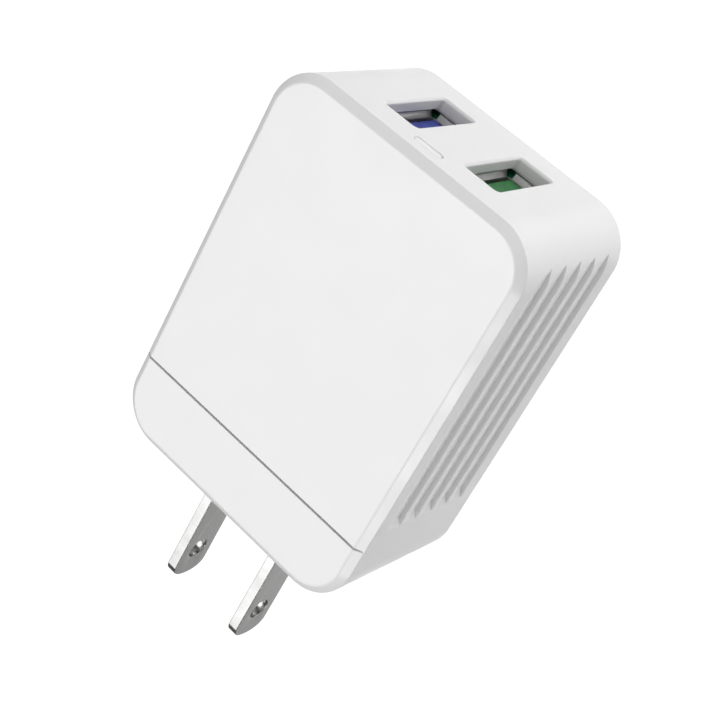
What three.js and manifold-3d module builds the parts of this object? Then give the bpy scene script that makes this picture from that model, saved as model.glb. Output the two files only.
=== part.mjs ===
// Dual-port USB wall charger with a fixed two-blade plug, in millimetres.
// +Y is the way the blades point into the wall, -Y is the end with the two ports,
// +Z is the large plain front face, and the back face lies on the table.
// The origin is the middle of the plug face, between the blades.
import * as THREE from 'three';
import { mergeVertices } from 'three/addons/utils/BufferGeometryUtils.js';
import Module from 'manifold-3d';

const wasm = await Module();
wasm.setup();

// ---- driving dimensions -------------------------------------------------------------------
const BODY_WIDTH = 40;
const BODY_LENGTH = 56;
const BODY_THICKNESS = 25.4;
const CORNER_RADIUS = 6.3;
const EDGE_CHAMFER_IN = 1.1;
const EDGE_CHAMFER_DEEP = 0.95;
const WALL = 2;
const SHELL_GAP = 0.1;
const BLADE_TO_FRONT = 12.1;

const PLUG_BASE_HEIGHT = 3;
const PLUG_BASE_WIDTH = 24;
const PLUG_BASE_DEPTH = 13.6;
const BLADE_SPACING = 12.7;
const BLADE_WIDTH = 6.35;
const BLADE_THICKNESS = 1.5;
const BLADE_LENGTH = 18.2;
const BLADE_HOLE_RADIUS = 1.6;
const BLADE_HOLE_TO_TIP = 4.8;

const SEAM_FROM_PRONG_END = 10.55;
const SEAM_WIDTH = 0.3;

const PORT_SPACING = 12.86;
const PORT_WINDOW_WIDTH = 5.16;
const PORT_WINDOW_LENGTH = 13.16;
const PORT_WINDOW_CHAMFER = 0.32;
const PORT_WINDOW_DEPTH = 1.6;
const PORT_POCKET_WIDTH = 7;
const PORT_POCKET_LENGTH = 14;
const PORT_FROM_FRONT = 12.8;
const USB_SHELL_WIDTH = 5.72;
const USB_SHELL_LENGTH = 13.1;
const USB_SHELL_METAL = 0.3;
const USB_SHELL_DEPTH = 14;
const TONGUE_THICKNESS = 1.84;
const TONGUE_WIDTH = 11.4;
const TONGUE_BACK_GAP = 0.8;
const TONGUE_REACH = 8.6;
const TONGUE_RECESS = 0.7;
const SHELL_TO_WINDOW = 0.45;

const GROOVE_COUNT = 5;
const GROOVE_PITCH = 3.63;
const GROOVE_WIDTH = 2.9;
const GROOVE_DEPTH = 0.7;
const GROOVE_RAMP = 1.5;
const FIRST_GROOVE_FROM_FRONT = 3.77;
const GROOVE_FROM_PRONG_END = 13.1;

const LIGHT_SLOT_LENGTH = 4.3;
const LIGHT_SLOT_WIDTH = 1.2;
const LIGHT_SLOT_FROM_FRONT = 3.7;

const BOARD_THICKNESS = 1.6;

// ---- places that follow from them ---------------------------------------------------------
const frontZ = BLADE_TO_FRONT;
const backZ = frontZ - BODY_THICKNESS;
const rimZ = frontZ - EDGE_CHAMFER_DEEP;
const prongEndY = -PLUG_BASE_HEIGHT;
const usbEndY = prongEndY - BODY_LENGTH;
const bodyMiddleY = (prongEndY + usbEndY) / 2;
const seamY = prongEndY - SEAM_FROM_PRONG_END;
const portZ = frontZ - PORT_FROM_FRONT;
const shellFrontY = usbEndY + PORT_WINDOW_DEPTH + SHELL_TO_WINDOW;
const boardTopZ = portZ - USB_SHELL_LENGTH / 2 - 0.15;
const boardBottomZ = boardTopZ - BOARD_THICKNESS;
const insideBackZ = backZ + WALL;
const coverInsideZ = rimZ - 1.3;

// ---- shape helpers ------------------------------------------------------------------------
function roundedOutline(width, height, radius) {
  const x = width / 2;
  const y = height / 2;
  const shape = new THREE.Shape();
  shape.moveTo(x, -y + radius);
  shape.absarc(x - radius, y - radius, radius, 0, Math.PI / 2);
  shape.absarc(-x + radius, y - radius, radius, Math.PI / 2, Math.PI);
  shape.absarc(-x + radius, -y + radius, radius, Math.PI, 1.5 * Math.PI);
  shape.absarc(x - radius, -y + radius, radius, 1.5 * Math.PI, 2 * Math.PI);
  return shape;
}

function polygon(points) {
  return new THREE.Shape(points.map(([x, y]) => new THREE.Vector2(x, y)));
}

// A solid with its outline in XY, from z = 0 up to z = height.
function extrude(shape, height, curveSegments = 6) {
  return new THREE.ExtrudeGeometry(shape, { depth: height, bevelEnabled: false, curveSegments });
}

function box([x0, y0, z0], [x1, y1, z1]) {
  const geometry = new THREE.BoxGeometry(x1 - x0, y1 - y0, z1 - z0);
  return geometry.translate((x0 + x1) / 2, (y0 + y1) / 2, (z0 + z1) / 2);
}

// A cylinder along the named axis, centred at the point.
function cylinder(radius, length, axis, [x, y, z], segments = 24) {
  const geometry = new THREE.CylinderGeometry(radius, radius, length, segments);
  if (axis === 'z') geometry.rotateX(Math.PI / 2);
  if (axis === 'x') geometry.rotateZ(Math.PI / 2);
  return geometry.translate(x, y, z);
}

// An outline drawn in (x, z) and pushed along Y, from y0 to y1.
function prismAlongY(shape, y0, y1, curveSegments = 6) {
  const geometry = extrude(shape, y1 - y0, curveSegments);
  return geometry.rotateX(Math.PI / 2).translate(0, y1, 0);
}

function tube(points, radius, steps, segments = 10) {
  const path = new THREE.CatmullRomCurve3(points.map((p) => new THREE.Vector3(...p)));
  const section = new THREE.Shape();
  section.absarc(0, 0, radius, 0, 2 * Math.PI);
  const options = { steps, bevelEnabled: false, extrudePath: path, curveSegments: segments };
  return new THREE.ExtrudeGeometry(section, options);
}

// ---- booleans -----------------------------------------------------------------------------
function solid(geometry) {
  const bare = geometry.clone();
  bare.deleteAttribute('normal');
  bare.deleteAttribute('uv');
  const merged = mergeVertices(bare, 1e-4);
  const mesh = new wasm.Mesh({
    numProp: 3,
    vertProperties: new Float32Array(merged.attributes.position.array),
    triVerts: new Uint32Array(merged.index.array),
  });
  return new wasm.Manifold(mesh);
}

function geometryOf(manifold) {
  const mesh = manifold.getMesh();
  const geometry = new THREE.BufferGeometry();
  geometry.setAttribute('position', new THREE.BufferAttribute(mesh.vertProperties, 3));
  geometry.setIndex(new THREE.BufferAttribute(mesh.triVerts, 1));
  geometry.computeVertexNormals();
  return geometry;
}

function join(geometries) {
  return geometries.map(solid).reduce((a, b) => a.add(b));
}

function cut(base, cutters) {
  return cutters.reduce((a, b) => a.subtract(solid(b)), base);
}

// ---- materials ----------------------------------------------------------------------------
function material(color, roughness, metalness = 0) {
  return new THREE.MeshStandardMaterial({ color, roughness, metalness });
}

const WHITE_PLASTIC = ['#f1f0ef', 0.4];
const NICKEL = ['#b9b7b2', 0.3, 1];
const GOLD = ['#c9a75a', 0.35, 1];
const COPPER = ['#b0693d', 0.4, 1];
const BLACK_PLASTIC = ['#1d1d1f', 0.5];

const charger = new THREE.Group();

function addPart(name, geometry, look) {
  const mesh = new THREE.Mesh(geometry, material(...look));
  mesh.name = name;
  charger.add(mesh);
}

// ---- casing -------------------------------------------------------------------------------
// The whole outer block, with both large faces chamfered all round.
function casingBlock() {
  const outline = roundedOutline(BODY_WIDTH, BODY_LENGTH, CORNER_RADIUS);
  const geometry = new THREE.ExtrudeGeometry(outline, {
    depth: BODY_THICKNESS - 2 * EDGE_CHAMFER_DEEP,
    bevelEnabled: true,
    bevelSegments: 1,
    bevelThickness: EDGE_CHAMFER_DEEP,
    bevelSize: EDGE_CHAMFER_IN,
    bevelOffset: -EDGE_CHAMFER_IN,
    curveSegments: 10,
  });
  return geometry.translate(0, bodyMiddleY, backZ + EDGE_CHAMFER_DEEP);
}

// The louvre-like grooves of one side. Each floor slopes in from the surface to a ledge that faces
// the front. They run out over the rounded corner at the port end, and end in a ramp at the other.
function sideGrooves(side) {
  const surface = BODY_WIDTH / 2;
  const outside = surface + 1;
  const floor = surface - GROOVE_DEPTH;
  const endY = prongEndY - GROOVE_FROM_PRONG_END;
  const rampPerDepth = GROOVE_RAMP / GROOVE_DEPTH;
  const slopePerDepth = GROOVE_WIDTH / GROOVE_DEPTH;
  const rampProfile = polygon([
    [side * outside, usbEndY - 1],
    [side * outside, endY + rampPerDepth],
    [side * floor, endY - GROOVE_RAMP],
    [side * floor, usbEndY - 1],
  ]);
  const ramp = solid(extrude(rampProfile, GROOVE_WIDTH + slopePerDepth));
  const sawtooth = polygon([
    [side * floor, 0],
    [side * outside, 0],
    [side * outside, GROOVE_WIDTH + slopePerDepth],
  ]);
  const slope = solid(prismAlongY(sawtooth, usbEndY - 1, endY + rampPerDepth));
  const groove = geometryOf(slope.intersect(ramp));
  const cutters = [];
  for (let i = 0; i < GROOVE_COUNT; i += 1) {
    const ledgeZ = frontZ - FIRST_GROOVE_FROM_FRONT - GROOVE_WIDTH - i * GROOVE_PITCH;
    cutters.push(groove.clone().translate(0, 0, ledgeZ));
  }
  return cutters;
}

// A port window: a straight well with a small chamfer round its mouth, and behind it a shallow
// pocket that the front rim of the USB shell reaches into.
function portWindow(x) {
  const outline = roundedOutline(PORT_WINDOW_WIDTH, PORT_WINDOW_LENGTH, 0.5);
  const well = prismAlongY(outline, usbEndY - 1, usbEndY + PORT_WINDOW_DEPTH + 1, 3);
  const mouth = new THREE.ExtrudeGeometry(outline, {
    depth: 0.1,
    bevelEnabled: true,
    bevelSegments: 1,
    bevelThickness: PORT_WINDOW_CHAMFER,
    bevelSize: PORT_WINDOW_CHAMFER,
    curveSegments: 3,
  });
  mouth.rotateX(Math.PI / 2).translate(0, usbEndY, 0);
  const pocketOutline = roundedOutline(PORT_POCKET_WIDTH, PORT_POCKET_LENGTH, 1);
  const pocket = prismAlongY(pocketOutline, usbEndY + PORT_WINDOW_DEPTH, usbEndY + WALL + 1, 3);
  return [well, mouth, pocket].map((geometry) => geometry.translate(x, 0, portZ));
}

function lightOutline(clearance) {
  const width = LIGHT_SLOT_LENGTH - 2 * clearance;
  const height = LIGHT_SLOT_WIDTH - 2 * clearance;
  return roundedOutline(width, height, height / 2 - 0.01);
}

function mainHousing() {
  const trim = box([-30, usbEndY - 1, backZ - 1], [30, prongEndY + 1, rimZ]);
  const cavity = extrude(
    roundedOutline(BODY_WIDTH - 2 * WALL, BODY_LENGTH - 2 * WALL, CORNER_RADIUS - WALL),
    BODY_THICKNESS,
  ).translate(0, bodyMiddleY, insideBackZ);
  const shell = solid(casingBlock()).intersect(solid(trim)).subtract(solid(cavity));
  const lightZ = frontZ - LIGHT_SLOT_FROM_FRONT;
  const lightSlot = prismAlongY(lightOutline(0), usbEndY - 1, usbEndY + WALL + 2, 4);
  const plugHole = prismAlongY(roundedOutline(20.8, 10.4, 2), prongEndY - WALL - 1, prongEndY + 1, 4);
  return cut(shell, [
    ...portWindow(PORT_SPACING / 2),
    ...portWindow(-PORT_SPACING / 2),
    lightSlot.translate(0, 0, lightZ),
    plugHole,
    ...sideGrooves(1),
    ...sideGrooves(-1),
  ]);
}

// A front cover: the chamfered plate between two Y positions, with a step inside the rim.
function cover(y0, y1) {
  const plate = solid(casingBlock()).intersect(solid(box([-30, y0, rimZ + SHELL_GAP], [30, y1, 30])));
  const inset = WALL + 0.2;
  const step = extrude(
    roundedOutline(BODY_WIDTH - 2 * inset, BODY_LENGTH - 2 * inset, CORNER_RADIUS - inset),
    rimZ + 0.5 - coverInsideZ,
  ).translate(0, bodyMiddleY, coverInsideZ);
  const band = box([-30, y0 + 0.001, coverInsideZ - 1], [30, y1 - 0.001, 30]);
  return plate.add(solid(step).intersect(solid(band)));
}

addPart('main_housing', geometryOf(mainHousing()), WHITE_PLASTIC);
addPart('front_cover', geometryOf(cover(usbEndY - 1, seamY - SEAM_WIDTH / 2)), WHITE_PLASTIC);
addPart('lower_front_cover', geometryOf(cover(seamY + SEAM_WIDTH / 2, prongEndY + 1)), WHITE_PLASTIC);

// ---- plug ---------------------------------------------------------------------------------
const bladeRootY = prongEndY - 7;

function plugInsert() {
  const head = roundedOutline(PLUG_BASE_WIDTH, PLUG_BASE_DEPTH, 3);
  const neck = roundedOutline(20.4, 10, 1.8);
  const body = join([
    prismAlongY(head, prongEndY + SHELL_GAP, 0, 4),
    prismAlongY(neck, prongEndY - WALL - 2, prongEndY + 1, 4),
  ]);
  const slots = [-1, 1].map((side) => {
    const x = side * BLADE_SPACING / 2;
    const halfX = BLADE_THICKNESS / 2 + 0.05;
    const halfZ = BLADE_WIDTH / 2 + 0.05;
    return box([x - halfX, -20, -halfZ], [x + halfX, 5, halfZ]);
  });
  return cut(body, slots);
}

// A blade: flat strip with rounded tip corners, a bevel round the tip and one round hole.
function blade(side) {
  const half = BLADE_WIDTH / 2;
  const corner = 1.9;
  const tip = BLADE_LENGTH;
  const outline = new THREE.Shape();
  outline.moveTo(bladeRootY, -half);
  outline.lineTo(tip - corner, -half);
  outline.quadraticCurveTo(tip, -half + 0.35, tip, 0);
  outline.quadraticCurveTo(tip, half - 0.35, tip - corner, half);
  outline.lineTo(bladeRootY, half);
  const hole = new THREE.Path();
  hole.absarc(tip - BLADE_HOLE_TO_TIP, 0, BLADE_HOLE_RADIUS, 0, 2 * Math.PI);
  outline.holes.push(hole);
  const strip = new THREE.ExtrudeGeometry(outline, {
    depth: BLADE_THICKNESS - 0.4,
    bevelEnabled: true,
    bevelSegments: 1,
    bevelThickness: 0.2,
    bevelSize: 0.2,
    bevelOffset: -0.2,
    curveSegments: 8,
  });
  // Outline x runs along +Y, outline y along +Z, and the thickness along +X.
  const turn = new THREE.Matrix4().makeBasis(
    new THREE.Vector3(0, 1, 0),
    new THREE.Vector3(0, 0, 1),
    new THREE.Vector3(1, 0, 0),
  );
  strip.applyMatrix4(turn);
  return strip.translate(side * BLADE_SPACING / 2 - BLADE_THICKNESS / 2 + 0.2, 0, 0);
}

addPart('plug_insert', geometryOf(plugInsert()), WHITE_PLASTIC);
for (const [side, word] of [[-1, 'left'], [1, 'right']]) {
  addPart(`prong_${word}`, blade(side), NICKEL);
  const x = side * BLADE_SPACING / 2;
  const leadTop = bladeRootY - 0.8;
  const lead = tube([
    [x, leadTop, -1.5],
    [x, leadTop - 0.6, -3],
    [x, leadTop - 1, -5],
    [x, leadTop - 1, boardTopZ + 0.3],
  ], 0.6, 12);
  addPart(`input_lead_${word}`, lead, COPPER);
}

// ---- circuit board ------------------------------------------------------------------------
const boardEndY = -13;

function circuitBoard() {
  const width = BODY_WIDTH - 2 * WALL - 1.4;
  const startY = shellFrontY + 0.6;
  const board = extrude(roundedOutline(width, boardEndY - startY, 2), BOARD_THICKNESS, 3);
  return board.translate(0, (boardEndY + startY) / 2, boardBottomZ);
}

addPart('main_circuit_board', circuitBoard(), ['#1f6b46', 0.5]);
const sheetMargin = 1.2;
const sheetTop = insideBackZ + 0.5;
addPart(
  'insulation_sheet',
  box(
    [-BODY_WIDTH / 2 + WALL + sheetMargin, usbEndY + 6, insideBackZ + 0.1],
    [BODY_WIDTH / 2 - WALL - sheetMargin, prongEndY - 8, sheetTop],
  ),
  ['#e7dfc6', 0.4],
);

// ---- USB ports ----------------------------------------------------------------------------
function usbShell(x) {
  const half = USB_SHELL_WIDTH / 2;
  const outer = roundedOutline(USB_SHELL_WIDTH, USB_SHELL_LENGTH, 0.9);
  const innerWidth = USB_SHELL_WIDTH - 2 * USB_SHELL_METAL;
  const innerLength = USB_SHELL_LENGTH - 2 * USB_SHELL_METAL;
  const inner = roundedOutline(innerWidth, innerLength, 0.6);
  const backY = shellFrontY + USB_SHELL_DEPTH;
  const walls = solid(prismAlongY(outer, shellFrontY, backY, 3));
  const slit = box([half - 1, shellFrontY + 2.5, -1], [half + 1, shellFrontY + 8, 1]);
  const sleeve = cut(walls, [prismAlongY(inner, shellFrontY - 1, backY + 1, 3), slit]);
  return geometryOf(sleeve).translate(x, 0, portZ);
}

// Places across a port, measured from its middle: contacts face -X.
const tongueBackX = USB_SHELL_WIDTH / 2 - USB_SHELL_METAL - TONGUE_BACK_GAP;
const tongueFaceX = tongueBackX - TONGUE_THICKNESS;
const tongueTipY = shellFrontY + TONGUE_RECESS;
const tongueBaseY = tongueTipY + TONGUE_REACH;
const contactPlaces = [-3.5, -1, 1, 3.5];
const contactWidth = 1;
const contactGap = 0.2;

function tongue(x) {
  const inset = 2 * (USB_SHELL_METAL + 0.1);
  const outline = roundedOutline(USB_SHELL_WIDTH - inset, USB_SHELL_LENGTH - inset, 0.6);
  const base = prismAlongY(outline, tongueBaseY, shellFrontY + USB_SHELL_DEPTH, 3);
  const reach = box(
    [tongueFaceX, tongueTipY, -TONGUE_WIDTH / 2],
    [tongueBackX, tongueBaseY + 1, TONGUE_WIDTH / 2],
  );
  const slotHalf = contactWidth / 2 + contactGap;
  const slots = contactPlaces.map((z) => box(
    [tongueFaceX - 0.6, tongueTipY + 0.8, z - slotHalf],
    [tongueFaceX + 0.8, tongueBaseY + 2, z + slotHalf],
  ));
  return geometryOf(cut(join([base, reach]), slots)).translate(x, 0, portZ);
}

// One contact: a strip in its slot that stands a little proud of the tongue near the tip.
function contact(x, z) {
  const rootY = tongueBaseY + 1.8;
  const y0 = tongueTipY + 1.2;
  const profile = polygon([
    [tongueFaceX + 0.35, y0],
    [tongueFaceX + 0.12, y0],
    [tongueFaceX - 0.22, y0 + 1.4],
    [tongueFaceX - 0.22, y0 + 2.6],
    [tongueFaceX, y0 + 4.4],
    [tongueFaceX, rootY],
    [tongueFaceX + 0.25, rootY],
    [tongueFaceX + 0.25, y0 + 4.6],
    [tongueFaceX + 0.03, y0 + 2.7],
    [tongueFaceX + 0.03, y0 + 1.5],
  ]);
  return extrude(profile, contactWidth).translate(x, 0, portZ + z - contactWidth / 2);
}

const ports = [
  { word: 'left', x: -PORT_SPACING / 2, colour: '#1e7a35' },
  { word: 'right', x: PORT_SPACING / 2, colour: '#2743a0' },
];
for (const { word, x, colour } of ports) {
  addPart(`usb_shell_${word}`, usbShell(x), NICKEL);
  addPart(`usb_tongue_${word}`, tongue(x), [colour, 0.45]);
  contactPlaces.forEach((z, i) => addPart(`usb_contact_${word}_${i + 1}`, contact(x, z), GOLD));
}

// ---- indicator light ----------------------------------------------------------------------
function lightPipe() {
  const z = frontZ - LIGHT_SLOT_FROM_FRONT;
  const inside = usbEndY + WALL;
  const stem = prismAlongY(lightOutline(0.1), usbEndY + 0.05, inside + 1, 4).translate(0, 0, z);
  const flange = box([-3.2, inside + 0.1, z - 0.7], [3.2, inside + 1.3, z + 1.2]);
  return geometryOf(join([stem, flange]));
}

addPart('light_pipe', lightPipe(), ['#dfe3e6', 0.25]);
const ledZ = frontZ - LIGHT_SLOT_FROM_FRONT;
addPart(
  'indicator_led',
  box([-0.8, usbEndY + WALL + 1.6, ledZ - 0.4], [0.8, usbEndY + WALL + 2.3, ledZ + 0.4]),
  ['#f4f1d8', 0.3],
);
addPart(
  'led_board',
  box([-4, usbEndY + WALL + 2.4, ledZ - 1.1], [4, usbEndY + WALL + 3.4, ledZ + 1.3]),
  ['#1f6b46', 0.5],
);

// ---- power parts on the board -------------------------------------------------------------
const partsZ = boardTopZ + 0.1;

// An electrolytic capacitor standing on the board, with its rolled groove near the foot.
function standingCapacitor(x, y, radius, height) {
  const groove = 0.3;
  const outline = [
    [0, 0], [radius, 0], [radius, 1.4], [radius - groove, 1.7], [radius, 2],
    [radius, height - 0.4], [radius - 0.4, height], [0, height],
  ];
  const points = outline.map(([r, z]) => new THREE.Vector2(r, z));
  return new THREE.LatheGeometry(points, 20).rotateX(Math.PI / 2).translate(x, y, partsZ);
}

const DARK_SLEEVE = ['#22252c', 0.4];
const GREEN_SLEEVE = ['#1e5a4a', 0.4];
addPart('input_capacitor_1', standingCapacitor(12.5, -19, 4, 14.5), DARK_SLEEVE);
addPart('input_capacitor_2', standingCapacitor(12.5, -28.5, 4, 14.5), DARK_SLEEVE);
addPart('output_capacitor_1', standingCapacitor(13.5, -50.5, 3.15, 11), GREEN_SLEEVE);
addPart('output_capacitor_2', standingCapacitor(13.5, -43, 3.15, 11), GREEN_SLEEVE);
addPart('output_capacitor_3', standingCapacitor(-13.5, -50.5, 3.15, 11), GREEN_SLEEVE);

// The transformer lies with its winding along Y: a ferrite core with a middle leg through a
// two-flanged bobbin, and the taped winding between the flanges.
const transformer = { x: -4.6, y: -30, z: -0.6 };

function transformerCore() {
  const frame = box([-9, -8, -2.6], [9, 8, 2.6]);
  const windows = [-1, 1].map((side) => {
    const nearX = side * 2.3;
    const farX = side * 6.7;
    return box([Math.min(nearX, farX), -5.6, -4], [Math.max(nearX, farX), 5.6, 4]);
  });
  return geometryOf(cut(solid(frame), windows));
}

function transformerBobbin() {
  const flange = (y) => box([-6.3, y, -6.5], [6.3, y + 0.9, 6.2]);
  const barrel = box([-3.1, -5, -3.4], [3.1, 5, 3.4]);
  const legHole = box([-2.6, -9, -2.9], [2.6, 9, 2.9]);
  return geometryOf(cut(join([flange(-5.3), flange(4.4), barrel]), [legHole]));
}

function transformerWinding() {
  const outer = prismAlongY(roundedOutline(11.6, 11.4, 3), -4.2, 4.2, 4);
  const core = box([-3.3, -9, -3.6], [3.3, 9, 3.6]);
  return geometryOf(cut(solid(outer), [core]));
}

const { x: tx, y: ty, z: tz } = transformer;
addPart('transformer_core', transformerCore().translate(tx, ty, tz), ['#3a3a3d', 0.6]);
addPart('transformer_bobbin', transformerBobbin().translate(tx, ty, tz), BLACK_PLASTIC);
addPart('transformer_winding', transformerWinding().translate(tx, ty, tz), ['#d9b13b', 0.4]);

function chokeCore(x, y) {
  const ring = [[1.6, 0], [3.4, 0], [3.4, 4.4], [1.6, 4.4], [1.6, 0]];
  const points = ring.map(([r, z]) => new THREE.Vector2(r, z));
  return new THREE.LatheGeometry(points, 20).rotateX(Math.PI / 2).translate(x, y, partsZ);
}

function block(x, y, z, width, length, height) {
  return box([x - width / 2, y - length / 2, z], [x + width / 2, y + length / 2, z + height]);
}

addPart('filter_choke', chokeCore(-13.5, -43.2), COPPER);
addPart('bridge_rectifier', block(-12, -16.5, partsZ, 7, 6, 2.8), BLACK_PLASTIC);
addPart('fuse_resistor', cylinder(1.6, 8, 'x', [0, -16.5, partsZ + 1.9], 16), ['#7fae8c', 0.5]);
addPart('surge_disc', cylinder(3.4, 2.2, 'y', [4.2, -20.6, partsZ + 3.7], 20), ['#2b5fa8', 0.5]);
addPart('safety_capacitor', cylinder(3.2, 2.4, 'x', [9.7, -38, partsZ + 3.5], 20), ['#2f66b5', 0.5]);
addPart('power_controller', block(-14.5, -36.5, partsZ, 4.2, 4, 1.5), BLACK_PLASTIC);
addPart('port_controller', block(0, -45, partsZ, 3.2, 5, 1.4), BLACK_PLASTIC);
const spreaderZ = coverInsideZ - 1.1;
addPart('thermal_pad', block(tx, ty, tz + 6.6, 11, 11, 1.8), ['#9fb4c4', 0.8]);
addPart('heat_spreader', block(0, -32, spreaderZ, 30, 30, 0.8), ['#b9bcc0', 0.4, 1]);

export default charger;
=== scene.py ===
# %% [markdown]
# # A two-port USB wall charger
# The object is a white moulded casing about as big as a matchbox, with two flat plug blades on one
# end and two USB sockets on the other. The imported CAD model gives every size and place. This
# notebook builds what the eye sees around it: the moulded skin with soft edges, the stamped blades,
# the folded sockets, and a finish for each piece inside.

# %% The frame and the tools
import math

import bmesh
import bpy
from mathutils import Euler, Matrix, Vector


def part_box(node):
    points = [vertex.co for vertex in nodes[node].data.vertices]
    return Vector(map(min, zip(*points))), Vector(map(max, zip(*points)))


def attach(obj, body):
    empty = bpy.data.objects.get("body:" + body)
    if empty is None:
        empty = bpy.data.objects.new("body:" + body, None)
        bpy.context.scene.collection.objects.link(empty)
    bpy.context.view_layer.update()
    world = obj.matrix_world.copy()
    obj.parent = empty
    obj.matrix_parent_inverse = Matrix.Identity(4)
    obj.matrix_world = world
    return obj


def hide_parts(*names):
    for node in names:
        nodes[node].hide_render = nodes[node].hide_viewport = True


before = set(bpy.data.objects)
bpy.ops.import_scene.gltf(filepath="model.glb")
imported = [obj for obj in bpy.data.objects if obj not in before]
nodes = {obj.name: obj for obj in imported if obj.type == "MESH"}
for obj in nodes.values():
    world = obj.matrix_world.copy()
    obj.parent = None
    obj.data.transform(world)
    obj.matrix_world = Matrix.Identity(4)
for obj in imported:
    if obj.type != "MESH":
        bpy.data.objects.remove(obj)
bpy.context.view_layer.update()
MM = 0.001

# %% [markdown]
# ## Measures taken from the frame
# The casing's outer box, the blades and the sockets are read from the CAD nodes, so that this script
# follows the design if it is packed again. What a box can't say, such as a corner radius, is named
# here in millimetres, with the same value as the design has.

# %% Casing measures
tub_low, tub_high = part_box("main_housing")
cover_low, cover_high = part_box("front_cover")
strip_low, strip_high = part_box("lower_front_cover")
HALF_WIDTH = tub_high.x
PORT_END = tub_low.y
PLUG_END = tub_high.y
BACK = tub_low.z
FRONT = cover_high.z
RIM = tub_high.z
SEAM_MIDDLE = (cover_high.y + strip_low.y) / 2
CORNER = 6.3 * MM
CHAMFER_IN = 1.1 * MM
CHAMFER_DEEP = 0.95 * MM
WALL = 2.0 * MM
MIDDLE_Y = (PORT_END + PLUG_END) / 2
print("casing mm:", [round(v / MM, 2) for v in (2 * HALF_WIDTH, PLUG_END - PORT_END, FRONT - BACK)])

# %% [markdown]
# ## Camera
# The charger is seen from above its front face, from the port end and a little to one side, with a
# long lens. Three angles and a distance say that better than a matrix does: azimuth goes round the
# object, elevation is the height above the table, and roll turns the picture about the line of sight.

# %% Camera
CAMERA_AZIMUTH = -37.67
CAMERA_ELEVATION = 53.67
CAMERA_ROLL = -106.71
CAMERA_DISTANCE = 205.6 * MM
CAMERA_TARGET = Vector((-2.11, -27.35, 0.58)) * MM
LENS = 81.1


def sight_direction(azimuth, elevation):
    """Unit vector from the object to the camera."""
    turn, lift = math.radians(azimuth), math.radians(elevation)
    return Vector((math.sin(turn) * math.cos(lift), -math.cos(turn) * math.cos(lift), math.sin(lift)))


camera = bpy.data.objects.new("camera", bpy.data.cameras.new("camera"))
bpy.context.scene.collection.objects.link(camera)
camera.data.lens = LENS
camera.data.clip_start = 0.01
back = sight_direction(CAMERA_AZIMUTH, CAMERA_ELEVATION)
level = Euler((math.radians(90 - CAMERA_ELEVATION), 0, math.radians(CAMERA_AZIMUTH)))
roll = Matrix.Rotation(math.radians(CAMERA_ROLL), 4, back)
camera.matrix_world = (
    Matrix.Translation(CAMERA_TARGET + back * CAMERA_DISTANCE) @ roll @ level.to_matrix().to_4x4()
)
bpy.context.scene.camera = camera
print("camera at mm:", [round(v / MM, 1) for v in camera.matrix_world.translation])

# %% [markdown]
# ## Studio
# White plastic shows its form only by small steps of grey, so the light has a direction: a broad box
# overhead, a weaker one at the port end, and a pale glowing table that lifts the sides from below.
# The table glows by painted emission, well under the charger, so that no shadow spoils the white ground.

# %% Colour and node helpers
def srgb(code):
    """An sRGB hex colour as linear red, green, blue and alpha."""
    values = [int(code[i : i + 2], 16) / 255 for i in (1, 3, 5)]
    return [v / 12.92 if v <= 0.04045 else ((v + 0.055) / 1.055) ** 2.4 for v in values] + [1.0]


def add_node(tree, kind, inputs=None, **settings):
    """Adds a node. Settings are its properties; inputs are values, or sockets to link from."""
    node = tree.nodes.new(kind)
    for key, value in settings.items():
        setattr(node, key, value)
    for key, value in (inputs or {}).items():
        if isinstance(value, bpy.types.NodeSocket):
            tree.links.new(value, node.inputs[key])
        else:
            node.inputs[key].default_value = value
    return node


# %% World and lamps
WORLD_LIGHT = 0.13

bpy.context.scene.view_settings.view_transform = "Standard"
world = bpy.data.worlds.new("studio")
world.use_nodes = True
world.node_tree.nodes["Background"].inputs["Color"].default_value = srgb("#FFFFFF")
world.node_tree.nodes["Background"].inputs["Strength"].default_value = WORLD_LIGHT
bpy.context.scene.world = world


def add_lamp(name, azimuth, elevation, size, power, distance=0.6):
    """A square area lamp that faces the charger."""
    lamp = bpy.data.objects.new(name, bpy.data.lights.new(name, "AREA"))
    bpy.context.scene.collection.objects.link(lamp)
    lamp.data.size = size
    lamp.data.energy = power
    away = sight_direction(azimuth, elevation)
    place = Vector((0, MIDDLE_Y, 0)) + away * distance
    lamp.matrix_world = Matrix.Translation(place) @ away.to_track_quat("Z", "Y").to_matrix().to_4x4()
    return lamp


add_lamp("overhead", 90, 80, 0.4, 1.5)
add_lamp("port_end_high", 330, 60, 0.4, 0.45)
add_lamp("plug_end_high", 142, 57, 0.4, 1.15)
add_lamp("port_end_low", 0, -25, 0.3, 2.9)
add_lamp("grooved_side_low", 270, -25, 0.3, 0.7)
add_lamp("port_corner_low", 330, -25, 0.3, 0.95)
add_lamp("edge_light", 238, 29, 0.15, 0.78)

# %% Light table
TABLE_DROP = 300 * MM
TABLE_HALF = 3.0
# A painted glow: the table top emits at GLOW within GLOW_FULL of GLOW_CENTRE, fading to nothing by GLOW_GONE.
GLOW = 0.68
GLOW_CENTRE = Vector((156, 177, 0)) * MM
GLOW_FULL = 255 * MM
GLOW_GONE = 295 * MM

table_mesh = bpy.data.meshes.new("glow_painted_table")
table_corners = [(-TABLE_HALF, -TABLE_HALF), (TABLE_HALF, -TABLE_HALF)]
table_corners += [(-x, -y) for x, y in table_corners]
table_mesh.from_pydata([(x, y, BACK - TABLE_DROP) for x, y in table_corners], [], [(0, 1, 2, 3)])
table = bpy.data.objects.new("glow_painted_table", table_mesh)
bpy.context.scene.collection.objects.link(table)


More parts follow.
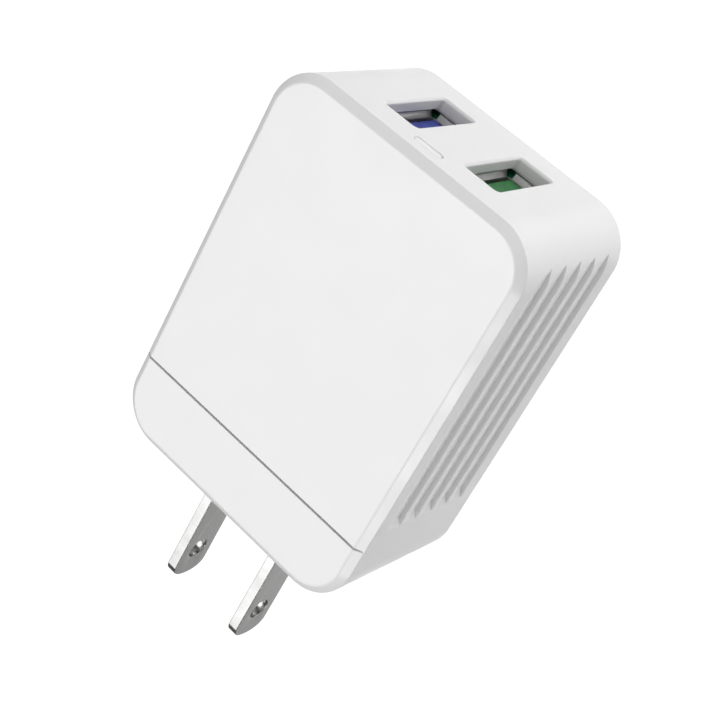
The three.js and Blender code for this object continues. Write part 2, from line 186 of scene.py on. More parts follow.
def table_top_with_painted_glow():
    """Pale table top with a painted glow: emission in a patch under the camera's view, ending in a soft edge."""
    material = bpy.data.materials.new("table_top_painted_glow")
    material.use_nodes = True
    tree = material.node_tree
    shader = tree.nodes["Principled BSDF"]
    shader.inputs["Base Color"].default_value = srgb("#E7E7E7")
    shader.inputs["Roughness"].default_value = 0.7
    shader.inputs["Specular IOR Level"].default_value = 0.2
    shader.inputs["Emission Color"].default_value = srgb("#FFFFFF")
    place = add_node(tree, "ShaderNodeTexCoord")
    flat = add_node(
        tree, "ShaderNodeVectorMath",
        {0: place.outputs["Object"], 1: (1, 1, 0)}, operation="MULTIPLY",
    )
    reach = add_node(
        tree, "ShaderNodeVectorMath",
        {0: flat.outputs["Vector"], 1: GLOW_CENTRE}, operation="DISTANCE",
    )
    glow = add_node(
        tree, "ShaderNodeMapRange",
        {
            "Value": reach.outputs["Value"],
            "From Min": GLOW_FULL,
            "From Max": GLOW_GONE,
            "To Min": GLOW,
            "To Max": 0.0,
        },
        interpolation_type="SMOOTHSTEP",
    )
    tree.links.new(glow.outputs["Result"], shader.inputs["Emission Strength"])
    return material


table.data.materials.append(table_top_with_painted_glow())

# %% [markdown]
# ## Plastics
# The casing is a polycarbonate and ABS blend, moulded against a finely polished and then lightly
# blasted tool. That gives an even white with a soft sheen, a very fine grain that only breaks up the
# highlights, and slow, faint changes of tone where the melt cooled at different speeds.

# %% Material helper
def new_material(name, colour, roughness, metallic=0.0, ior=1.5):
    """A node material with one Principled shader, ready for its patterns."""
    material = bpy.data.materials.new(name)
    material.use_nodes = True
    tree = material.node_tree
    shader = tree.nodes["Principled BSDF"]
    shader.inputs["Base Color"].default_value = srgb(colour)
    shader.inputs["Roughness"].default_value = roughness
    shader.inputs["Metallic"].default_value = metallic
    shader.inputs["IOR"].default_value = ior
    return material, tree, shader


def mottle(tree, shader, dark, light, size_mm, detail=3.0):
    """Slow patches between two nearby colours, each patch about size_mm across."""
    place = add_node(tree, "ShaderNodeTexCoord")
    noise = add_node(
        tree, "ShaderNodeTexNoise",
        {"Vector": place.outputs["Object"], "Scale": 1000 / size_mm, "Detail": detail},
    )
    ramp = add_node(tree, "ShaderNodeValToRGB", {"Fac": noise.outputs["Fac"]})
    ramp.color_ramp.elements[0].position = 0.35
    ramp.color_ramp.elements[0].color = srgb(dark)
    ramp.color_ramp.elements[1].position = 0.65
    ramp.color_ramp.elements[1].color = srgb(light)
    tree.links.new(ramp.outputs["Color"], shader.inputs["Base Color"])
    return noise


def grain(tree, shader, size_mm, height_mm, strength=1.0):
    """A fine bump all over, with bumps about size_mm apart and height_mm high."""
    place = add_node(tree, "ShaderNodeTexCoord")
    noise = add_node(
        tree, "ShaderNodeTexNoise",
        {"Vector": place.outputs["Object"], "Scale": 1000 / size_mm, "Detail": 2.0},
    )
    bump = add_node(
        tree, "ShaderNodeBump",
        {"Height": noise.outputs["Fac"], "Distance": height_mm * MM, "Strength": strength},
    )
    tree.links.new(bump.outputs["Normal"], shader.inputs["Normal"])
    return bump


def uneven_roughness(tree, shader, low, high, size_mm):
    """Roughness that drifts between two values, in patches about size_mm across."""
    place = add_node(tree, "ShaderNodeTexCoord")
    noise = add_node(
        tree, "ShaderNodeTexNoise",
        {"Vector": place.outputs["Object"], "Scale": 1000 / size_mm, "Detail": 2.0},
    )
    spread = add_node(
        tree, "ShaderNodeMapRange",
        {"Value": noise.outputs["Fac"], "From Min": 0.3, "From Max": 0.7, "To Min": low, "To Max": high},
    )
    tree.links.new(spread.outputs["Result"], shader.inputs["Roughness"])


# %% Moulded casing plastic
def moulded_casing_plastic():
    material, tree, shader = new_material("moulded_white_pc_abs", "#EBEAEB", 0.32, ior=1.57)
    mottle(tree, shader, "#EBEAEA", "#ECEBEC", 14.0)
    grain(tree, shader, 0.09, 0.004, 0.5)
    uneven_roughness(tree, shader, 0.29, 0.36, 6.0)
    return material


casing_plastic = moulded_casing_plastic()


def glass_filled_plastic(name, dark, light):
    """PBT with glass fibre, as in most socket insulators: a dull, slightly streaky moulding."""
    material, tree, shader = new_material(name, light, 0.42, ior=1.55)
    mottle(tree, shader, dark, light, 1.2)
    grain(tree, shader, 0.05, 0.004, 0.6)
    return material


blue_insulator = glass_filled_plastic("moulded_blue_pbt", "#1D2C7C", "#263A92")
green_insulator = glass_filled_plastic("moulded_green_pbt", "#12602A", "#1B7434")
print("plastics:", casing_plastic.name, blue_insulator.name, green_insulator.name)

# %% [markdown]
# ## Metals
# The blades are stamped from brass strip and barrel-plated with nickel. Stamping leaves the broad
# faces smooth with very fine lines along the strip, and tumbling softens every edge. The sockets are
# folded from nickel-plated steel, and the contacts carry a thin flash of gold.

# %% Metals
def plated_metal(name, colour, roughness, streak_mm, along):
    """Plated strip with fine rolling lines that run along one axis of the frame."""
    material, tree, shader = new_material(name, colour, roughness, metallic=1.0)
    place = add_node(tree, "ShaderNodeTexCoord")
    stretch = [1000 / streak_mm] * 3
    stretch["XYZ".index(along)] = 1000 / (streak_mm * 60)
    mapping = add_node(tree, "ShaderNodeMapping", {"Vector": place.outputs["Object"], "Scale": stretch})
    lines = add_node(
        tree, "ShaderNodeTexNoise", {"Vector": mapping.outputs["Vector"], "Scale": 1.0, "Detail": 3.0}
    )
    bump = add_node(
        tree, "ShaderNodeBump",
        {"Height": lines.outputs["Fac"], "Distance": 0.003 * MM, "Strength": 0.5},
    )
    tree.links.new(bump.outputs["Normal"], shader.inputs["Normal"])
    uneven_roughness(tree, shader, roughness - 0.05, roughness + 0.07, 3.0)
    return material


nickel_on_brass = plated_metal("nickel_plated_brass_strip", "#B4B4B3", 0.24, 0.15, "Y")
nickel_on_steel = plated_metal("nickel_plated_steel_sheet", "#DCDBDA", 0.42, 0.12, "Y")
gold_flash = plated_metal("gold_flashed_bronze", "#D9B35C", 0.25, 0.1, "Y")
tinned_copper = plated_metal("tinned_copper_wire", "#C58A5C", 0.35, 0.1, "Z")
rolled_aluminium = plated_metal("rolled_aluminium_sheet", "#C3C6C9", 0.38, 0.3, "X")
print("metals:", nickel_on_brass.name, nickel_on_steel.name, gold_flash.name)

# %% [markdown]
# ## Finishes of the parts inside
# These are hidden in use but belong to the object: a fibreglass board under green solder mask, sintered
# ferrite, polyester tape, shrink sleeves and dip coatings. Each gets its own base and its own grain.

# %% Inner finishes
def simple_finish(name, dark, light, roughness, patch_mm, grain_mm, ior=1.5):
    material, tree, shader = new_material(name, light, roughness, ior=ior)
    mottle(tree, shader, dark, light, patch_mm)
    grain(tree, shader, grain_mm, 0.01, 0.4)
    return material


def circuit_board_mask(name):
    """Solder mask over etched tracks: the copper below shows as slightly lighter, raised lanes."""
    material, tree, shader = new_material(name, "#1C6B45", 0.35, ior=1.52)
    place = add_node(tree, "ShaderNodeTexCoord")
    tracks = add_node(
        tree, "ShaderNodeTexBrick",
        {
            "Vector": place.outputs["Object"],
            "Scale": 1000 / 6.0,
            "Color1": srgb("#1F7A50"),
            "Color2": srgb("#18603E"),
            "Mortar": srgb("#124C31"),
            "Mortar Size": 0.035,
            "Brick Width": 0.8,
            "Row Height": 0.35,
        },
        offset=0.37,
    )
    tree.links.new(tracks.outputs["Color"], shader.inputs["Base Color"])
    bump = add_node(
        tree, "ShaderNodeBump",
        {"Height": tracks.outputs["Fac"], "Distance": 0.03 * MM, "Strength": 0.6},
        invert=True,
    )
    tree.links.new(bump.outputs["Normal"], shader.inputs["Normal"])
    return material


def translucent_light_pipe():
    """Milky polycarbonate: it carries the lamp's light but shows no shape behind it."""
    material, tree, shader = new_material("milky_polycarbonate", "#F1F2F2", 0.3, ior=1.58)
    shader.inputs["Subsurface Weight"].default_value = 0.4
    shader.inputs["Subsurface Radius"].default_value = (0.0006, 0.0006, 0.0006)
    shader.inputs["Subsurface Scale"].default_value = 1.0
    mottle(tree, shader, "#EDEEEE", "#F4F5F5", 1.5)
    grain(tree, shader, 0.06, 0.004, 0.5)
    return material


light_pipe_plastic = translucent_light_pipe()
board_mask = circuit_board_mask("green_solder_mask_on_glass_fibre")
phosphor = simple_finish("silicone_with_phosphor", "#E9E2B4", "#F3EECB", 0.3, 0.4, 0.05)
insulating_film = simple_finish("fish_paper_film", "#D8CFB4", "#E6DFC8", 0.5, 3.0, 0.2)
ferrite = simple_finish("sintered_ferrite", "#2C2C2E", "#414144", 0.6, 0.5, 0.1, ior=2.0)
phenolic = simple_finish("moulded_black_phenolic", "#161618", "#232326", 0.45, 2.0, 0.1)
polyester_tape = simple_finish("yellow_polyester_tape", "#CDA52E", "#E0BC45", 0.3, 4.0, 0.6, ior=1.64)
dark_sleeve = simple_finish("dark_pvc_shrink_sleeve", "#1D2028", "#2B2F3A", 0.3, 5.0, 0.5)
green_sleeve = simple_finish("green_pvc_shrink_sleeve", "#17503F", "#206450", 0.3, 5.0, 0.5)
epoxy_dip = simple_finish("blue_epoxy_dip", "#2658A4", "#3A70BE", 0.25, 1.5, 0.4, ior=1.55)
flameproof_coat = simple_finish("flameproof_resistor_coat", "#6FA285", "#8BB79B", 0.55, 0.8, 0.15)
silicone_pad = simple_finish("filled_silicone_pad", "#8EA5B4", "#A7BBC8", 0.8, 1.0, 0.15, ior=1.41)
epoxy_package = simple_finish("moulded_epoxy_package", "#1B1B1D", "#29292C", 0.5, 0.6, 0.06)
print("materials so far:", len(bpy.data.materials))

# %% [markdown]
# ## The moulded tub
# The tub is one moulding: back wall, four sides and the grooves. Its skin is drawn as a net. Columns
# go round the outline, rows go from the back face up to the rim, and a row inside a groove is pushed
# in by as much as the groove is deep at that column. Every edge then gets its small moulded radius
# from a few extra rows or columns, which a bevel tool can't do where grooves fade into the corner.

# %% Outline of the casing
CORNER_STEPS = 28


def casing_outline(inset=0.0, side_stops=(), end_stops=(), corner_angles=(), corner=CORNER):
    """Points round the casing, anticlockwise seen from the front, each with its outward direction.
    Straight runs get extra points at side_stops (y) and end_stops (x)."""
    arc_x = HALF_WIDTH - corner
    arc_low = PORT_END + corner
    arc_high = PLUG_END - corner
    centres = [(arc_x, arc_high, 0), (-arc_x, arc_high, 90), (-arc_x, arc_low, 180), (arc_x, arc_low, 270)]
    stops = {0: end_stops, 90: side_stops, 180: end_stops, 270: side_stops}
    points = []
    for x, y, first in centres:
        steps = [first + 90 * i / CORNER_STEPS for i in range(CORNER_STEPS + 1)]
        steps += [a for a in corner_angles if first < a < first + 90]
        for angle in sorted(steps):
            out = Vector((math.cos(math.radians(angle)), math.sin(math.radians(angle))))
            points.append((Vector((x, y)) + out * (corner - inset), out))
        out = Vector((round(math.cos(math.radians(first + 90))), round(math.sin(math.radians(first + 90)))))
        backwards = first in (0, 90)
        for stop in sorted(stops[first], reverse=backwards):
            edge = HALF_WIDTH - inset
            if first in (90, 270):
                points.append((Vector((out.x * edge, stop)), out))
            else:
                end = (PLUG_END - inset) if out.y > 0 else (PORT_END + inset)
                points.append((Vector((stop, end)), out))
    return points


def soften(path, radius, steps=4):
    """A polyline with each inner corner replaced by a small curve."""
    result = [path[0]]
    for before, here, after in zip(path, path[1:], path[2:]):
        here = Vector(here)
        towards = [Vector(before) - here, Vector(after) - here]
        reach = [min(radius, 0.45 * t.length) for t in towards]
        start, end = [here + t.normalized() * r for t, r in zip(towards, reach)]
        for i in range(steps + 1):
            t = i / steps
            result.append(start * (1 - t) ** 2 + here * 2 * t * (1 - t) + end * t * t)
    result.append(path[-1])
    return [Vector(p) for p in result]


def net_object(name, rings, closed_ends=True):
    """A closed solid from rings of equal length, each ring joined to the next by quads."""
    mesh = bmesh.new()
    loops = [[mesh.verts.new(p) for p in ring] for ring in rings]
    for low, high in zip(loops, loops[1:]):
        for i in range(len(low)):
            j = (i + 1) % len(low)
            mesh.faces.new((low[i], low[j], high[j], high[i]))
    if closed_ends:
        mesh.faces.new(list(reversed(loops[0])))
        mesh.faces.new(loops[-1])
    else:
        for i in range(len(loops[0])):
            j = (i + 1) % len(loops[0])
            mesh.faces.new((loops[-1][i], loops[-1][j], loops[0][j], loops[0][i]))
    bmesh.ops.remove_doubles(mesh, verts=mesh.verts, dist=1e-7)
    bmesh.ops.recalc_face_normals(mesh, faces=mesh.faces)
    return mesh_object(name, mesh)


def mesh_object(name, mesh):
    data = bpy.data.meshes.new(name)
    mesh.to_mesh(data)
    mesh.free()
    thing = bpy.data.objects.new(name, data)
    bpy.context.scene.collection.objects.link(thing)
    return thing


print("outline points:", len(casing_outline()))

# %% [markdown]
# The grooves are shaped like louvres. Each floor slopes inward from the surface, and ends at a ledge
# that faces the front. At the port end they run out over the rounded corner, which makes their tips
# pointed, and at the other end a short ramp brings them back to the surface.

# %% Grooves
GROOVE_COUNT = 5
GROOVE_PITCH = 3.63 * MM
GROOVE_WIDTH = 2.9 * MM
GROOVE_DEPTH = 0.7 * MM
GROOVE_RAMP = 1.5 * MM
GROOVE_LIP = 0.06 * MM
SLOPE_STEPS = 18
first_ledge = FRONT - 3.77 * MM - GROOVE_WIDTH
groove_end = PLUG_END - 13.1 * MM


def eased(u, r):
    """u where it is positive and 0 elsewhere, with a smooth bend of half-width r between."""
    if u <= -r:
        return 0.0
    return u if u >= r else (u + r) ** 2 / (4 * r)


def groove_rows():
    """Rows from the lowest ledge up: a height, and the depth that the groove has there."""
    rows = []
    quarter = [math.radians(90 * i / 4) for i in range(5)]
    for i in reversed(range(GROOVE_COUNT)):
        ledge = first_ledge - i * GROOVE_PITCH
        for a in quarter:
            rows.append((ledge - GROOVE_LIP * (1 - math.sin(a)), GROOVE_LIP * (1 - math.cos(a))))
        for share in (0.35, 0.65, 0.9):
            rows.append((ledge + 0.01 * MM * share, GROOVE_DEPTH * share))
        for step in range(SLOPE_STEPS + 3):
            height = GROOVE_WIDTH * (step + 0.3) / SLOPE_STEPS
            slope = (GROOVE_WIDTH - height) * GROOVE_DEPTH / GROOVE_WIDTH
            rows.append((ledge + height, eased(slope, 0.02 * MM)))
    return rows


def groove_depth(point, row_depth):
    """How far below the skin a row lies at this place on the outline."""
    bend = 0.05 * MM
    ramp = eased(groove_end - point.y, bend) * GROOVE_DEPTH / GROOVE_RAMP
    return max(0.0, min(row_depth, ramp) - (HALF_WIDTH - abs(point.x)))


rows = groove_rows()
print("groove rows:", len(rows), "from", round(rows[0][0] / MM, 2), "to", round(rows[-1][0] / MM, 2))

# %% [markdown]
# The inside of the tub is drawn in the same net: over the rim, down the inner wall and across the
# floor. Only the port windows, the light slot and the plug opening are cut afterwards, because they
# pierce flat walls, where a boolean cut leaves clean edges.

# %% Tools for cutting and finishing
def carve(target, cutter, operation="DIFFERENCE"):
    """Cuts cutter out of target, or joins it on, and deletes the cutter."""
    step = target.modifiers.new("carve", "BOOLEAN")
    step.operation = operation
    step.solver = "EXACT"
    step.object = cutter
    seen = target.evaluated_get(bpy.context.evaluated_depsgraph_get())
    result = bpy.data.meshes.new_from_object(seen)
    target.modifiers.clear()
    old = target.data
    target.data = result
    bpy.data.meshes.remove(old)
    bpy.data.objects.remove(cutter)
    return target


def smooth_surface(thing, sharp_degrees=32):
    """Smooth shading that keeps true edges crisp and lets flat faces stay flat."""
    mesh = bmesh.new()
    mesh.from_mesh(thing.data)
    for face in mesh.faces:
        face.smooth = True
    for edge in mesh.edges:
        if len(edge.link_faces) == 2:
            edge.smooth = edge.calc_face_angle(0.0) < math.radians(sharp_degrees)
    mesh.to_mesh(thing.data)
    mesh.free()
    weigh = thing.modifiers.new("flat_faces_first", "WEIGHTED_NORMAL")
    weigh.keep_sharp = True
    weigh.weight = 60
    return thing


def dress(thing, material, body="charger", replaces=()):
    """Gives a finished piece its material and body, and hides the CAD nodes it stands for."""
    thing.data.materials.clear()
    thing.data.materials.append(material)
    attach(thing, body)
    if replaces:
        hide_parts(*replaces)
    size = thing.dimensions
    print(thing.name, "mm:", [round(v / MM, 2) for v in size], "faces:", len(thing.data.polygons))
    return thing


def soften_path(path, steps=4):
    """Points (a, b, radius) as a polyline whose inner corners are small curves of that radius."""
    result = [Vector(path[0][:2])]
    for before, here, after in zip(path, path[1:], path[2:]):
        corner = Vector(here[:2])
        towards = [Vector(before[:2]) - corner, Vector(after[:2]) - corner]
        reach = [min(here[2], 0.45 * t.length) for t in towards]
        start, end = [corner + t.normalized() * r for t, r in zip(towards, reach)]
        for i in range(steps + 1):
            t = i / steps
            result.append(start * (1 - t) ** 2 + corner * 2 * t * (1 - t) + end * t * t)
    result.append(Vector(path[-1][:2]))
    return result


def rounded_outline(width, height, radius, steps=6):
    """Points round a rounded rectangle about the origin, each with its outward direction."""
    points = []
    for sx, sy, first in ((1, 1, 0), (-1, 1, 90), (-1, -1, 180), (1, -1, 270)):
        centre = Vector((sx * (width / 2 - radius), sy * (height / 2 - radius)))
        for i in range(steps + 1):
            angle = math.radians(first + 90 * i / steps)
            out = Vector((math.cos(angle), math.sin(angle)))
            points.append((centre + out * radius, out))
    return points


def sleeve_along_y(name, outline, path, centre_x=0.0, centre_z=0.0, closed_ends=True):
    """A solid whose outline lies in (x, z) and grows or shrinks along Y: path holds (offset, y)."""
    rings = []
    for offset, y in path:
        ring = []
        for point, out in outline:
            place = point + out * offset
            ring.append((centre_x + place.x, y, centre_z + place.y))
        rings.append(ring)
    return net_object(name, rings, closed_ends)


# %% The tub's skin
EDGE_ROUND = 0.22 * MM
RIM_ROUND = 0.03 * MM


def tub_rings():
    run_out = math.degrees(math.acos((CORNER - GROOVE_DEPTH) / CORNER))
    side_stops = [groove_end - GROOVE_RAMP * step / 12 for step in range(-1, 14)]
    side_stops += [groove_end - i * 5 * MM for i in range(1, 7)]
    fine_angles = [run_out * step / 20 for step in range(1, 21)]
    corner_angles = [180 + a for a in fine_angles] + [360 - a for a in fine_angles]
    outline_stops = dict(side_stops=side_stops, corner_angles=corner_angles)
    low = rows[0][0]
    high = rows[-1][0]
    back_path = [
        (4 * MM, BACK, 0),
        (CHAMFER_IN, BACK, EDGE_ROUND),
        (0, BACK + CHAMFER_DEEP, EDGE_ROUND),
        (0, low - 0.05 * MM, 0),
    ]
    rim_path = [
        (0, high + 0.05 * MM, 0),
        (0, RIM, RIM_ROUND),
        (WALL, RIM, RIM_ROUND),
        (WALL, BACK + WALL, 0.4 * MM),
        (4 * MM, BACK + WALL, 0),
    ]
    plain = lambda inset, z: [(*p, z) for p, _ in casing_outline(inset, **outline_stops)]
    rings = [plain(inset, z) for inset, z in soften_path(back_path)]
    skin = casing_outline(0, **outline_stops)
    for z, row_depth in rows:
        ring = []
        for point, _ in skin:
            depth = groove_depth(point, row_depth)
            ring.append((point.x - math.copysign(depth, point.x), point.y, z))
        rings.append(ring)
    rings += [plain(inset, z) for inset, z in soften_path(rim_path)]
    return rings


tub = net_object("casing_tub", tub_rings())
print("tub net:", len(tub.data.polygons), "faces")

# %% [markdown]
# ## Windows in the port end
# A window is a straight well with a moulded lead-in round its mouth, so that a plug finds its way. The
# wall is thinner behind it, in a pocket that the socket's front edge reaches into. The cutters are
# built with the lead-in already on them.

# %% Cut the windows, the light slot and the plug opening
WINDOW_WIDTH = 5.16 * MM
WINDOW_LENGTH = 13.16 * MM
WINDOW_DEPTH = 1.6 * MM
POCKET_WIDTH = 7 * MM
POCKET_LENGTH = 14 * MM
LEAD_IN = 0.32 * MM
port_places = {}
for side in ("left", "right"):
    low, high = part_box("usb_shell_" + side)
    port_places[side] = ((low.x + high.x) / 2, (low.z + high.z) / 2)
PORT_Z = port_places["left"][1]
light_low, light_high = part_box("light_pipe")
LIGHT_Z = FRONT - 3.7 * MM


def box_object(name, low, high):
    corners = [(low[0], low[1]), (high[0], low[1]), (high[0], high[1]), (low[0], high[1])]
    return net_object(name, [[(x, y, z) for x, y in corners] for z in (low[2], high[2])])


window_outline = rounded_outline(WINDOW_WIDTH, WINDOW_LENGTH, 0.5 * MM, 5)
mouth = [
    (LEAD_IN + 0.06 * MM, PORT_END - 1 * MM, 0),
    (LEAD_IN + 0.06 * MM, PORT_END - 0.02 * MM, 0.02 * MM),
    (LEAD_IN * 0.9, PORT_END + 0.04 * MM, 0.05 * MM),
    (0, PORT_END + LEAD_IN, 0.16 * MM),
    (0, PORT_END + WINDOW_DEPTH + 1 * MM, 0),
]
pocket_outline = rounded_outline(POCKET_WIDTH, POCKET_LENGTH, 1 * MM, 5)
pocket_path = [Vector((0, PORT_END + WINDOW_DEPTH)), Vector((0, PORT_END + WALL + 1 * MM))]
for x, z in port_places.values():
    carve(tub, sleeve_along_y("well", window_outline, soften_path(mouth), x, z))
    carve(tub, sleeve_along_y("pocket", pocket_outline, pocket_path, x, z))
light_outline = rounded_outline(4.3 * MM, 1.2 * MM, 0.599 * MM, 10)
light_mouth = [
    (0.1 * MM, PORT_END - 1 * MM, 0),
    (0.1 * MM, PORT_END - 0.02 * MM, 0.02 * MM),
    (0, PORT_END + 0.1 * MM, 0.06 * MM),
    (0, PORT_END + WALL + 1 * MM, 0),
]
carve(tub, sleeve_along_y("slot", light_outline, soften_path(light_mouth), 0, LIGHT_Z))
plug_outline = rounded_outline(20.8 * MM, 10.4 * MM, 2 * MM, 8)
plug_path = [Vector((0, PLUG_END - WALL - 1 * MM)), Vector((0, PLUG_END + 1 * MM))]
carve(tub, sleeve_along_y("opening", plug_outline, plug_path))
smooth_surface(tub)
dress(tub, casing_plastic, replaces=["main_housing"])

# %% [markdown]
# ## The front in two covers
# The large cover and the strip below the seam are chamfered plates, each with a step that drops inside
# the rim. They are cut from one chamfered net, and the two faces at the seam get a small radius, which
# is what makes a moulded joint read as a thin dark line with a light edge.

# %% Front covers
SEAM_WIDTH = 0.3 * MM
SEAM_ROUND = 0.06 * MM
STEP_INSET = WALL + 0.2 * MM
COVER_GAP = 0.02 * MM


def cover_block(name):
    inside = cover_low.z
    path = [
        (STEP_INSET + 2 * MM, inside, 0),
        (STEP_INSET, inside, 0.1 * MM),
        (STEP_INSET, RIM + COVER_GAP, 0.02 * MM),
        (0, RIM + COVER_GAP, RIM_ROUND),
        (CHAMFER_IN, FRONT, EDGE_ROUND),
        (4 * MM, FRONT, 0),
    ]
    rings = [[(*p, z) for p, _ in casing_outline(inset)] for inset, z in soften_path(path)]
    return net_object(name, rings)


def trim_at_seam(thing, edge_y, keep):
    """Keeps the part of a cover on one side of the seam, closes it and rounds the new edge."""
    mesh = bmesh.new()
    mesh.from_mesh(thing.data)
    everything = list(mesh.verts) + list(mesh.edges) + list(mesh.faces)
    found = bmesh.ops.bisect_plane(
        mesh, geom=everything, plane_co=(0, edge_y, 0), plane_no=(0, -keep, 0), clear_outer=True
    )
    rim = [e for e in found["geom_cut"] if isinstance(e, bmesh.types.BMEdge)]
    bmesh.ops.edgenet_fill(mesh, edges=rim)
    bmesh.ops.recalc_face_normals(mesh, faces=mesh.faces)
    shown = [e for e in rim if e.is_valid and min(v.co.z for v in e.verts) > RIM + 0.1 * MM]
    bmesh.ops.bevel(
        mesh, geom=shown, offset=SEAM_ROUND, segments=3, profile=0.5, affect="EDGES", clamp_overlap=True
    )
    mesh.to_mesh(thing.data)
    mesh.free()
    return thing


for name, node, keep in (("front_plate", "front_cover", -1), ("plug_end_strip", "lower_front_cover", 1)):
    plate = trim_at_seam(cover_block(name), SEAM_MIDDLE + keep * SEAM_WIDTH / 2, keep)
    smooth_surface(plate)
    dress(plate, casing_plastic, replaces=[node])

# %% [markdown]
# ## The plug
# The insert is a separate moulding that holds both blades. Each blade is stamped from flat strip with a
# rounded tip and one hole. A flat curve with a hole in it, given thickness and a rounded edge, is the
# nearest thing in Blender to that stamping, so the blade starts as a curve and is then made a mesh.

# %% Plug insert
insert_low, insert_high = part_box("plug_insert")
blade_boxes = {side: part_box("prong_" + side) for side in ("left", "right")}
HEAD_ROUND = 0.5 * MM
head_outline = rounded_outline(insert_high.x - insert_low.x, insert_high.z - insert_low.z, 3 * MM, 10)
head_path = [
    (-2 * MM, PLUG_END + 0.02 * MM, 0),
    (0, PLUG_END + 0.02 * MM, 0.03 * MM),
    (0, insert_high.y, HEAD_ROUND),
    (-2 * MM, insert_high.y, 0),
]
insert = sleeve_along_y("plug_block", head_outline, soften_path(head_path, 6))
neck_outline = rounded_outline(20.4 * MM, 10 * MM, 1.8 * MM, 8)
neck_path = [Vector((0, insert_low.y)), Vector((0, PLUG_END + 1 * MM))]
carve(insert, sleeve_along_y("neck", neck_outline, neck_path), "UNION")
BLADE_CLEARANCE = 0.03 * MM
for low, high in blade_boxes.values():
    grow = Vector((BLADE_CLEARANCE, 1 * MM, BLADE_CLEARANCE))
    carve(insert, box_object("blade_slot", low - grow, high + grow))
smooth_surface(insert)
dress(insert, casing_plastic, replaces=["plug_insert"])

# %% Blades
BLADE_HOLE = 1.6 * MM
HOLE_TO_TIP = 4.8 * MM
TIP_START = 1.9 * MM
TIP_FULLNESS = 0.35 * MM
BLADE_EDGE = 0.1 * MM


def blade_outline(root, tip, half):
    """Root to tip and back: straight edges, then two curves that meet at the middle of the tip."""
    points = [(root, -half)]
    for side in (-1, 1):
        ends = [Vector((tip - TIP_START, side * half)), Vector((tip, side * (half - TIP_FULLNESS))), Vector((tip, 0))]
        if side > 0:
            ends.reverse()
        a, b, c = ends
        for i in range(13):
            t = i / 12
            p = a * (1 - t) ** 2 + b * 2 * t * (1 - t) + c * t * t
            points.append((p.x, p.y))
    points.append((root, half))
    return points


def stamped_blade(name, low, high):
    half = (high.z - low.z) / 2
    thickness = high.x - low.x
    inner = BLADE_EDGE
    stamping = bpy.data.curves.new(name, "CURVE")
    stamping.dimensions = "2D"
    stamping.fill_mode = "BOTH"
    outline = blade_outline(low.y + inner, high.y - inner, half - inner)
    hole_y = high.y - HOLE_TO_TIP
    hole = [
        (hole_y + (BLADE_HOLE + inner) * math.cos(a), (BLADE_HOLE + inner) * math.sin(a))
        for a in (2 * math.pi * i / 48 for i in range(48))
    ]
    for ring in (outline, hole):
        spline = stamping.splines.new("POLY")
        spline.points.add(len(ring) - 1)
        for point, (u, v) in zip(spline.points, ring):
            point.co = (u, v, 0, 1)
        spline.use_cyclic_u = True
    stamping.extrude = thickness / 2 - inner
    stamping.bevel_depth = inner
    stamping.bevel_resolution = 3
    flat = bpy.data.objects.new("stamping", stamping)
    bpy.context.scene.collection.objects.link(flat)
    bpy.context.view_layer.update()
    seen = flat.evaluated_get(bpy.context.evaluated_depsgraph_get())
    data = bpy.data.meshes.new_from_object(seen)
    bpy.data.objects.remove(flat)
    # The curve lies in (along the blade, across it, through it): turn that to (y, z, x).
    data.transform(Matrix(((0, 0, 1, (low.x + high.x) / 2), (1, 0, 0, 0), (0, 1, 0, 0), (0, 0, 0, 1))))
    blade = bpy.data.objects.new(name, data)
    bpy.context.scene.collection.objects.link(blade)
    mesh = bmesh.new()
    mesh.from_mesh(data)
    bmesh.ops.remove_doubles(mesh, verts=mesh.verts, dist=1e-6)
    bmesh.ops.recalc_face_normals(mesh, faces=mesh.faces)
    mesh.to_mesh(data)
    mesh.free()
    return blade


for side, (low, high) in blade_boxes.items():
    blade = stamped_blade("plug_blade_" + side, low, high)
    smooth_surface(blade, 40)
    dress(blade, nickel_on_brass, replaces=["prong_" + side])

# %% [markdown]
# ## The sockets
# Each socket is a sleeve folded from 0.3 mm steel. At its mouth the four walls are cut apart at the
# corners and bent outwards a little, to guide the plug in. So the shell is a plain sleeve that starts
# behind the mouth, and four bent flaps in front of it. Inside stands the insulator with its contacts,
# which keep their CAD shapes with a small bevel, because they are plain mouldings and strips already.

# %% Socket shells
SHEET = 0.3 * MM
SHELL_CORNER = 0.9 * MM
FLAP_LENGTH = 0.8 * MM


def bent_flap(name, base, outward, half_span, lean):
    """A strip of sheet that runs forward from the sleeve and leans outward by lean at its front."""
    front = base.y
    profile = [
        (-SHEET, front + 2 * FLAP_LENGTH),
        (-SHEET, front + FLAP_LENGTH),
        (lean - 0.6 * SHEET, front + 0.35 * FLAP_LENGTH),
        (lean - 0.5 * SHEET, front),
        (lean + 0.5 * SHEET, front),
        (lean + 0.4 * SHEET, front + 0.4 * FLAP_LENGTH),
        (0, front + FLAP_LENGTH + 0.1 * MM),
        (0, front + 2 * FLAP_LENGTH),
    ]
    along = Vector((outward.z, 0, -outward.x))
    rings = []
    for span in (-half_span, half_span):
        ring = [base + outward * off + along * span for off, _ in profile]
        rings.append([(place.x, y, place.z) for place, (_, y) in zip(ring, profile)])
    return net_object(name, rings)


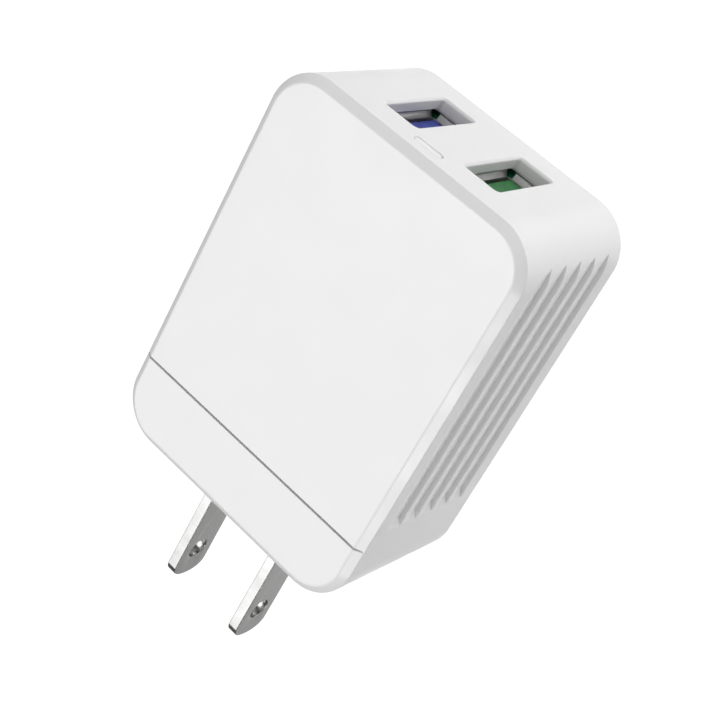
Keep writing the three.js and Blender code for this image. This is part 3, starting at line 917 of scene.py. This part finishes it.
def folded_shell(name, low, high, x, z):
    width, length = high.x - low.x, high.z - low.z
    outline = rounded_outline(width, length, SHELL_CORNER, 8)
    front = low.y + FLAP_LENGTH
    path = [
        (0, (low.y + high.y) / 2, 0),
        (0, front, 0.05 * MM),
        (-SHEET, front, 0.05 * MM),
        (-SHEET, high.y, 0.05 * MM),
        (0, high.y, 0.05 * MM),
        (0, (low.y + high.y) / 2 + 0.5 * MM, 0),
    ]
    shell = sleeve_along_y(name, outline, soften_path(path), x, z, closed_ends=False)
    centre = Vector((x, low.y, z))
    for sign in (-1, 1):
        side = Vector((sign, 0, 0))
        long_flap = bent_flap("flap", centre + side * width / 2, side, length / 2 - 0.5 * MM, 0.3 * MM)
        carve(shell, long_flap, "UNION")
        end = Vector((0, 0, sign))
        short_flap = bent_flap("flap", centre + end * length / 2, end, width / 2 - SHELL_CORNER, 0.15 * MM)
        carve(shell, short_flap, "UNION")
    rounded = shell.modifiers.new("tumbled_edges", "BEVEL")
    rounded.width = 0.05 * MM
    rounded.segments = 2
    rounded.limit_method = "ANGLE"
    rounded.angle_limit = math.radians(50)
    return shell


for side, (x, z) in port_places.items():
    low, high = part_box("usb_shell_" + side)
    shell = folded_shell("socket_shell_" + side, low, high, x, z)
    smooth_surface(shell, 40)
    dress(shell, nickel_on_steel, replaces=["usb_shell_" + side])

# %% [markdown]
# ## Pieces that keep their CAD shape
# Everything else has the right shape already. A narrow bevel gives each one real edges, and the
# finishes from above go on.

# %% Finish the CAD pieces
insulators = {"left": green_insulator, "right": blue_insulator}
kept = {
    "light_pipe": (light_pipe_plastic, 0.05),
    "indicator_led": (phosphor, 0.05),
    "led_board": (board_mask, 0.05),
    "main_circuit_board": (board_mask, 0.08),
    "insulation_sheet": (insulating_film, 0.05),
    "transformer_core": (ferrite, 0.2),
    "transformer_bobbin": (phenolic, 0.12),
    "transformer_winding": (polyester_tape, 0.15),
    "filter_choke": (tinned_copper, 0.2),
    "bridge_rectifier": (epoxy_package, 0.15),
    "fuse_resistor": (flameproof_coat, 0.3),
    "surge_disc": (epoxy_dip, 0.4),
    "safety_capacitor": (epoxy_dip, 0.4),
    "power_controller": (epoxy_package, 0.1),
    "port_controller": (epoxy_package, 0.1),
    "thermal_pad": (silicone_pad, 0.15),
    "heat_spreader": (rolled_aluminium, 0.1),
}
for side in ("left", "right"):
    kept["usb_tongue_" + side] = (insulators[side], 0.06)
    kept["input_lead_" + side] = (tinned_copper, 0.05)
    for i in range(1, 5):
        kept[f"usb_contact_{side}_{i}"] = (gold_flash, 0.03)
for i in (1, 2):
    kept[f"input_capacitor_{i}"] = (dark_sleeve, 0.1)
for i in (1, 2, 3):
    kept[f"output_capacitor_{i}"] = (green_sleeve, 0.1)

for name, (material, bevel_mm) in kept.items():
    piece = nodes[name]
    piece.data.materials.clear()
    piece.data.materials.append(material)
    soft_edge = piece.modifiers.new("soft_edge", "BEVEL")
    soft_edge.width = bevel_mm * MM
    soft_edge.segments = 2
    soft_edge.limit_method = "ANGLE"
    soft_edge.angle_limit = math.radians(40)
    soft_edge.harden_normals = False
print("kept CAD pieces:", len(kept))
